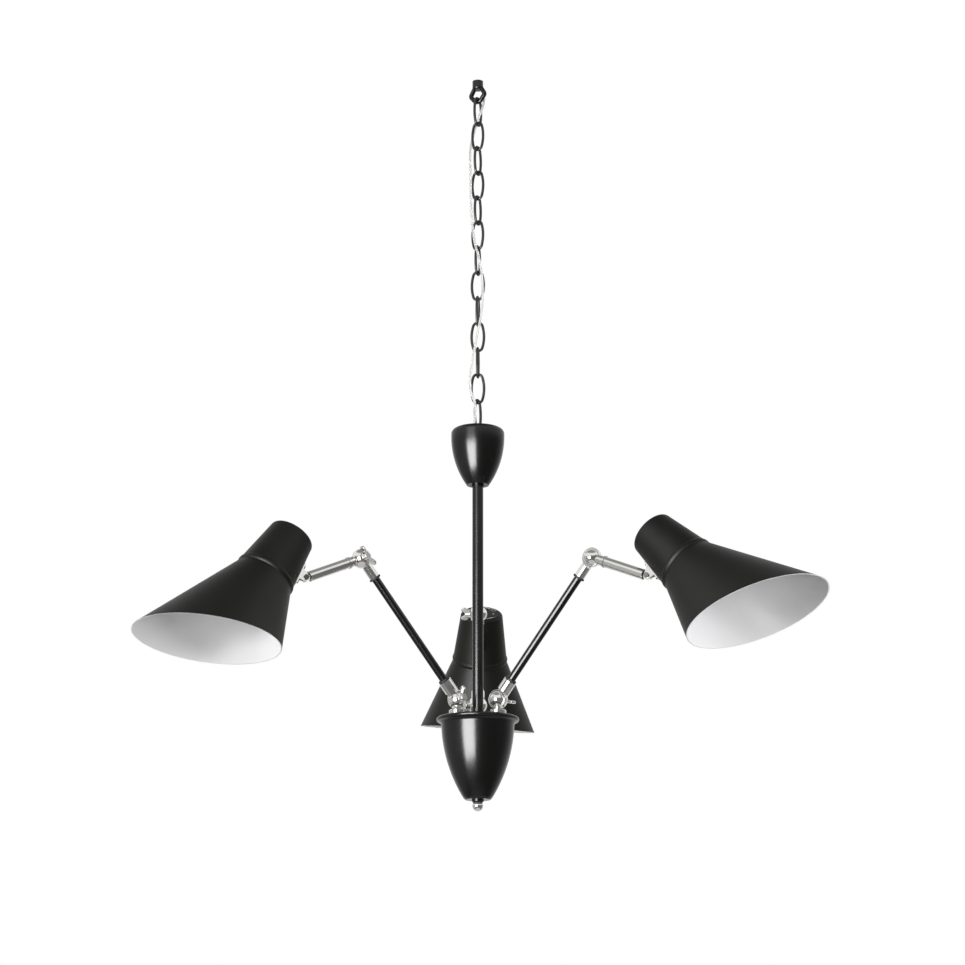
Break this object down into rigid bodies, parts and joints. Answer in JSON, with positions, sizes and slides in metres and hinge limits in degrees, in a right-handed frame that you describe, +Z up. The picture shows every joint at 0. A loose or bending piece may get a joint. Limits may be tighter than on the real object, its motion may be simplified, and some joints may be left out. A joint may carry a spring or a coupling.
{
  "type": "pendant light",
  "caption": "Hanging lamp on a chain, with a stem between turned cups and jointed swing arms that carry tilting, obliquely cut conical shades.",
  "frame": {"origin": "middle of the ceiling loop's top face, on the thread's axis", "axes": "+Z up along the ceiling thread, +X to the right and +Y to the rear of the pictured view"},
  "size_m": [0.6507, 0.5909, 0.7737],
  "materials": {
    "black_metal": "satin",
    "shade_black": "satin black outside, white inside",
    "black_chain": "satin",
    "chrome": "polished",
    "dark_steel": "dark",
    "zinc": "plated",
    "black_rubber": "matt",
    "white_plastic": "smooth",
    "clear_pvc": "milky, clear"
  },
  "bodies": {
    "ceiling": {"ceiling_loop": "black_metal", "cord_top": "clear_pvc"},
    "hanging_link": {"top_link": "black_chain"},
    "pendant": {"second_link": "black_chain", "chain": "black_chain", "stem_eye": "black_metal", "cord_grommet": "black_rubber", "upper_cup": "black_metal", "cup_collar": "black_metal", "stem_tube": "black_metal", "cover_plate": "black_metal", "stem_nut": "zinc", "arm_collars": "chrome", "arm_nuts": "zinc", "terminal_block": "white_plastic", "centre_rod": "zinc", "lower_cup": "black_metal", "finial_washer": "black_metal", "finial": "chrome", "cord": "clear_pvc"},
    "left_base": {"left_knuckle_base": "chrome"},
    "left_arm": {"left_arm_lower_socket": "chrome", "left_arm_tube": "black_metal", "left_arm_rings": "black_rubber", "left_arm_upper_socket": "chrome"},
    "left_lower_screw": {"left_lower_wing_screw": "chrome"},
    "left_elbow": {"left_elbow_head": "chrome"},
    "left_elbow_screw": {"left_elbow_wing_screw": "chrome"},
    "left_head": {"left_head_tube": "chrome"},
    "left_shade": {"left_shade_bracket": "chrome", "left_bracket_screws": "dark_steel", "left_shade": "shade_black", "left_lampholder": "white_plastic"},
    "right_base": {"right_knuckle_base": "chrome"},
    "right_arm": {"right_arm_lower_socket": "chrome", "right_arm_tube": "black_metal", "right_arm_rings": "black_rubber", "right_arm_upper_socket": "chrome"},
    "right_lower_screw": {"right_lower_wing_screw": "chrome"},
    "right_elbow": {"right_elbow_head": "chrome"},
    "right_elbow_screw": {"right_elbow_wing_screw": "chrome"},
    "right_head": {"right_head_tube": "chrome"},
    "right_shade": {"right_shade_bracket": "chrome", "right_bracket_screws": "dark_steel", "right_shade": "shade_black", "right_lampholder": "white_plastic"},
    "back_base": {"back_knuckle_base": "chrome"},
    "back_arm": {"back_arm_lower_socket": "chrome", "back_arm_tube": "black_metal", "back_arm_rings": "black_rubber", "back_arm_upper_socket": "chrome"},
    "back_lower_screw": {"back_lower_wing_screw": "chrome"},
    "back_elbow": {"back_elbow_head": "chrome"},
    "back_elbow_screw": {"back_elbow_wing_screw": "chrome"},
    "back_head": {"back_head_tube": "chrome"},
    "back_shade": {"back_shade_bracket": "chrome", "back_bracket_screws": "dark_steel", "back_shade": "shade_black", "back_lampholder": "white_plastic"}
  },
  "joints": [
    {"name": "loop_swing", "type": "hinge", "parent": "ceiling", "child": "hanging_link", "pos_m": [0, 0, -0.02308], "axis": [0.8572, -0.515, 0], "range_deg": [-18, 18], "deforming": ["cord_top"]},
    {"name": "chain_swing", "type": "hinge", "parent": "hanging_link", "child": "pendant", "pos_m": [0, 0, -0.04999], "axis": [0.5299, 0.848, 0], "range_deg": [-18, 18], "deforming": ["cord"]},
    {"name": "left_swivel", "type": "hinge", "parent": "pendant", "child": "left_base", "pos_m": [-0.02017, -0.01104, -0.66524], "axis": [0, 0, 1], "range_deg": [-25, 25]},
    {"name": "left_arm_tilt", "type": "hinge", "parent": "left_base", "child": "left_arm", "pos_m": [-0.02017, -0.01104, -0.66524], "axis": [0.4802, -0.8771, 0], "range_deg": [-20, 35]},
    {"name": "left_lower_screw_turn", "type": "hinge", "parent": "left_base", "child": "left_lower_screw", "pos_m": [-0.02017, -0.01104, -0.66524], "axis": [0.4802, -0.8771, 0], "continuous": true},
    {"name": "left_elbow_tilt", "type": "hinge", "parent": "left_arm", "child": "left_elbow", "pos_m": [-0.11353, -0.06216, -0.53474], "axis": [0.4802, -0.8771, 0], "range_deg": [-40, 30]},
    {"name": "left_elbow_screw_turn", "type": "hinge", "parent": "left_elbow", "child": "left_elbow_screw", "pos_m": [-0.11353, -0.06216, -0.53474], "axis": [0.4802, -0.8771, 0], "continuous": true},
    {"name": "left_head_roll", "type": "hinge", "parent": "left_elbow", "child": "left_head", "pos_m": [-0.13766, -0.07537, -0.5467], "axis": [-0.8044, -0.4404, -0.3987], "range_deg": [-45, 45]},
    {"name": "left_shade_tilt", "type": "hinge", "parent": "left_head", "child": "left_shade", "pos_m": [-0.16606, -0.09091, -0.56078], "axis": [0.4305, -0.8946, 0.1197], "range_deg": [-20, 20]},
    {"name": "right_swivel", "type": "hinge", "parent": "pendant", "child": "right_base", "pos_m": [0.0198, -0.01171, -0.66524], "axis": [0, 0, 1], "range_deg": [-25, 25]},
    {"name": "right_arm_tilt", "type": "hinge", "parent": "right_base", "child": "right_arm", "pos_m": [0.0198, -0.01171, -0.66524], "axis": [0.509, 0.8607, 0], "range_deg": [-20, 35]},
    {"name": "right_lower_screw_turn", "type": "hinge", "parent": "right_base", "child": "right_lower_screw", "pos_m": [0.0198, -0.01171, -0.66524], "axis": [0.509, 0.8607, 0], "continuous": true},
    {"name": "right_elbow_tilt", "type": "hinge", "parent": "right_arm", "child": "right_elbow", "pos_m": [0.11141, -0.06589, -0.53474], "axis": [0.509, 0.8607, 0], "range_deg": [-40, 30]},
    {"name": "right_elbow_screw_turn", "type": "hinge", "parent": "right_elbow", "child": "right_elbow_screw", "pos_m": [0.11141, -0.06589, -0.53474], "axis": [0.509, 0.8607, 0], "continuous": true},
    {"name": "right_head_roll", "type": "hinge", "parent": "right_elbow", "child": "right_head", "pos_m": [0.1352, -0.07996, -0.54639], "axis": [0.7932, -0.4691, -0.3883], "range_deg": [-45, 45]},
    {"name": "right_shade_tilt", "type": "hinge", "parent": "right_head", "child": "right_shade", "pos_m": [0.1632, -0.09652, -0.5601], "axis": [0.4733, 0.8761, -0.0915], "range_deg": [-8, 32]},
    {"name": "back_swivel", "type": "hinge", "parent": "pendant", "child": "back_base", "pos_m": [0.00012, 0.023, -0.66524], "axis": [0, 0, 1], "range_deg": [-25, 25]},
    {"name": "back_arm_tilt", "type": "hinge", "parent": "back_base", "child": "back_arm", "pos_m": [0.00012, 0.023, -0.66524], "axis": [-1, 0.0052, 0], "range_deg": [-20, 35]},
    {"name": "back_lower_screw_turn", "type": "hinge", "parent": "back_base", "child": "back_lower_screw", "pos_m": [0.00012, 0.023, -0.66524], "axis": [-1, 0.0052, 0], "continuous": true},
    {"name": "back_elbow_tilt", "type": "hinge", "parent": "back_arm", "child": "back_elbow", "pos_m": [0.00075, 0.1429, -0.547], "axis": [-1, 0.0052, 0], "range_deg": [-40, 30]},
    {"name": "back_elbow_screw_turn", "type": "hinge", "parent": "back_elbow", "child": "back_elbow_screw", "pos_m": [0.00075, 0.1429, -0.547], "axis": [-1, 0.0052, 0], "continuous": true},
    {"name": "back_head_roll", "type": "hinge", "parent": "back_elbow", "child": "back_head", "pos_m": [0.00089, 0.1704, -0.55898], "axis": [0.0048, 0.9167, -0.3995], "range_deg": [-45, 45]},
    {"name": "back_shade_tilt", "type": "hinge", "parent": "back_head", "child": "back_shade", "pos_m": [0.00106, 0.20276, -0.57309], "axis": [-0.9971, 0.0345, 0.0671], "range_deg": [-20, 20]}
  ]
}
